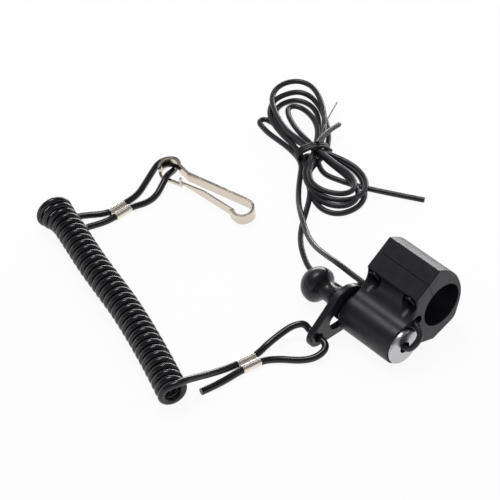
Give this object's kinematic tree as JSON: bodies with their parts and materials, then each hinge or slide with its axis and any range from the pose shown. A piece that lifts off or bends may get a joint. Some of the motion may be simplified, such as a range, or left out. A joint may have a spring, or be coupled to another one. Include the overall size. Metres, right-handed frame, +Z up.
{
  "type": "engine kill switch with lanyard",
  "caption": "Handlebar engine kill switch with a pull knob, a clamp for a round bar, a coiled tether cord with a snap hook, and a hank of wire.",
  "frame": {"origin": "centre of the handlebar bore, half way along it", "axes": "+X along the bore towards the end where the wires come out, +Z up from the table it lies on"},
  "size_m": [0.1935, 0.2139, 0.0414],
  "materials": {
    "black_casting": "satin black powder coat",
    "screw_steel": "black oxide",
    "black_plastic": "satin moulded",
    "bright_steel": "ground",
    "brass": "plain",
    "insulator": "plain",
    "zinc_plate": "bright zinc plate",
    "nickel": "nickel plate",
    "cord_black": "gloss extruded",
    "wire_pvc": "semi-matte extruded",
    "tie_black": "plain"
  },
  "bodies": {
    "switch": {"switch_housing": "black_casting", "clamp_jaw": "black_casting", "clamp_screws": "screw_steel", "plunger_bush": "brass", "return_spring": "bright_steel", "contact_block": "insulator", "fixed_contacts": "brass", "end_disc": "zinc_plate", "wire_one": "wire_pvc", "wire_two": "wire_pvc", "wire_free_end": "wire_pvc", "wire_hank": "wire_pvc", "twist_tie": "tie_black"},
    "plunger": {"knob": "black_plastic", "plunger_shaft": "bright_steel", "contact_carrier": "insulator", "moving_contact": "brass"},
    "tether": {"tether_fork": "black_plastic", "lower_ferrule": "nickel", "upper_ferrule": "nickel", "lanyard_coil": "cord_black", "lanyard_lower_cord": "cord_black", "lanyard_upper_cord": "cord_black", "snap_hook": "nickel"},
    "gate": {"hook_gate": "nickel"}
  },
  "joints": [
    {"name": "plunger_pull", "type": "slide", "parent": "switch", "child": "plunger", "axis": [-1, 0, 0], "range_m": [0, 0.002], "stiffness_N_per_m": 1500, "springref_m": -0.003, "deforming": ["return_spring"]},
    {"name": "fork_pull", "type": "slide", "parent": "switch", "child": "tether", "axis": [0, -1, 0], "range_m": [0, 0.016]},
    {"name": "hook_gate_swing", "type": "hinge", "parent": "tether", "child": "gate", "pos_m": [-0.1437, -0.0181, -0.015], "axis": [0, 0, 1], "range_deg": [0, 6], "stiffness_Nm_per_rad": 0.05, "springref_deg": -2.86}
  ]
}
